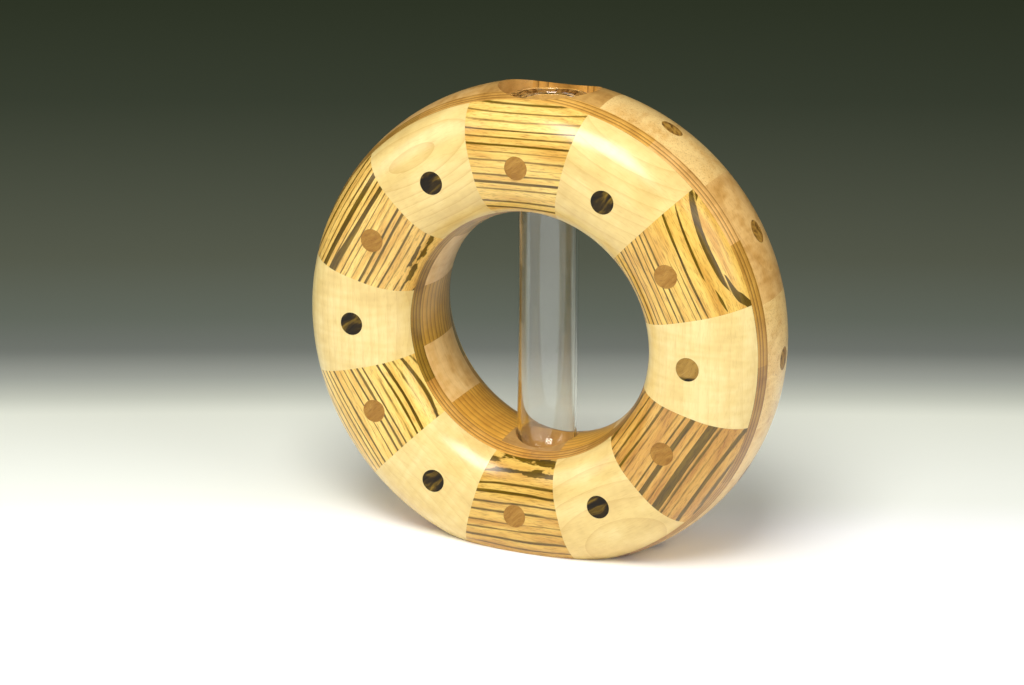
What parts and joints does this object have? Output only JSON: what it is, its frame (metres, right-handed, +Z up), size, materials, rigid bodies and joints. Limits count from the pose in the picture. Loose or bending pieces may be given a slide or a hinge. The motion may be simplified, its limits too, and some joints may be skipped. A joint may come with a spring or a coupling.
{
  "type": "donut vase",
  "caption": "Turned ring vase of segmented striped and pale hardwood with flush round plugs and a clear glass water tube standing upright across its round hole.",
  "frame": {"origin": "centre of the flat foot, on the surface that the vase stands on", "axes": "+Z up along the glass tube, +Y along the ring's axis from the front face to the back face, +X to the right seen from the front"},
  "size_m": [0.2, 0.068, 0.1869],
  "materials": {
    "zebrano": "clear satin lacquer over golden wood with near-black stripes",
    "thin_zebrano": "clear satin lacquer over orange-brown striped wood",
    "maple": "clear satin lacquer over cream maple",
    "rim_maple": "clear satin lacquer over mottled peach maple",
    "plain_plug": "clear satin lacquer over plain mid-brown wood",
    "striped_plug": "clear satin lacquer over near-black striped wood",
    "glass": "clear polished glass"
  },
  "bodies": {
    "ring": {"front_segment_01": "maple", "front_segment_02": "zebrano", "front_segment_03": "maple", "front_segment_04": "zebrano", "front_segment_05": "maple", "front_segment_06": "zebrano", "front_segment_07": "maple", "front_segment_08": "zebrano", "front_segment_09": "maple", "front_segment_10": "zebrano", "front_segment_11": "maple", "front_segment_12": "zebrano", "front_plain_plugs": "plain_plug", "front_striped_plugs": "striped_plug", "front_thin_ring": "thin_zebrano", "back_segment_01": "maple", "back_segment_02": "zebrano", "back_segment_03": "maple", "back_segment_04": "zebrano", "back_segment_05": "maple", "back_segment_06": "zebrano", "back_segment_07": "maple", "back_segment_08": "zebrano", "back_segment_09": "maple", "back_segment_10": "zebrano", "back_segment_11": "maple", "back_segment_12": "zebrano", "back_plain_plugs": "plain_plug", "back_striped_plugs": "striped_plug", "back_thin_ring": "thin_zebrano", "core_segment_01": "zebrano", "rim_segment_01": "rim_maple", "core_segment_02": "maple", "rim_segment_02": "rim_maple", "core_segment_03": "zebrano", "rim_segment_03": "rim_maple", "core_segment_04": "maple", "rim_segment_04": "rim_maple", "core_segment_05": "zebrano", "rim_segment_05": "rim_maple", "core_segment_06": "maple", "rim_segment_06": "rim_maple", "core_segment_07": "zebrano", "rim_segment_07": "rim_maple", "core_segment_08": "maple", "rim_segment_08": "rim_maple", "core_segment_09": "zebrano", "rim_segment_09": "rim_maple", "core_segment_10": "maple", "rim_segment_10": "rim_maple", "core_segment_11": "zebrano", "rim_segment_11": "rim_maple", "core_segment_12": "maple", "rim_segment_12": "rim_maple", "rim_plugs": "striped_plug"},
    "tube": {"glass_tube": "glass"}
  },
  "joints": [
    {"name": "tube_lift", "type": "slide", "parent": "ring", "child": "tube", "axis": [0, 0, 1], "range_m": [0, 0.165]}
  ]
}
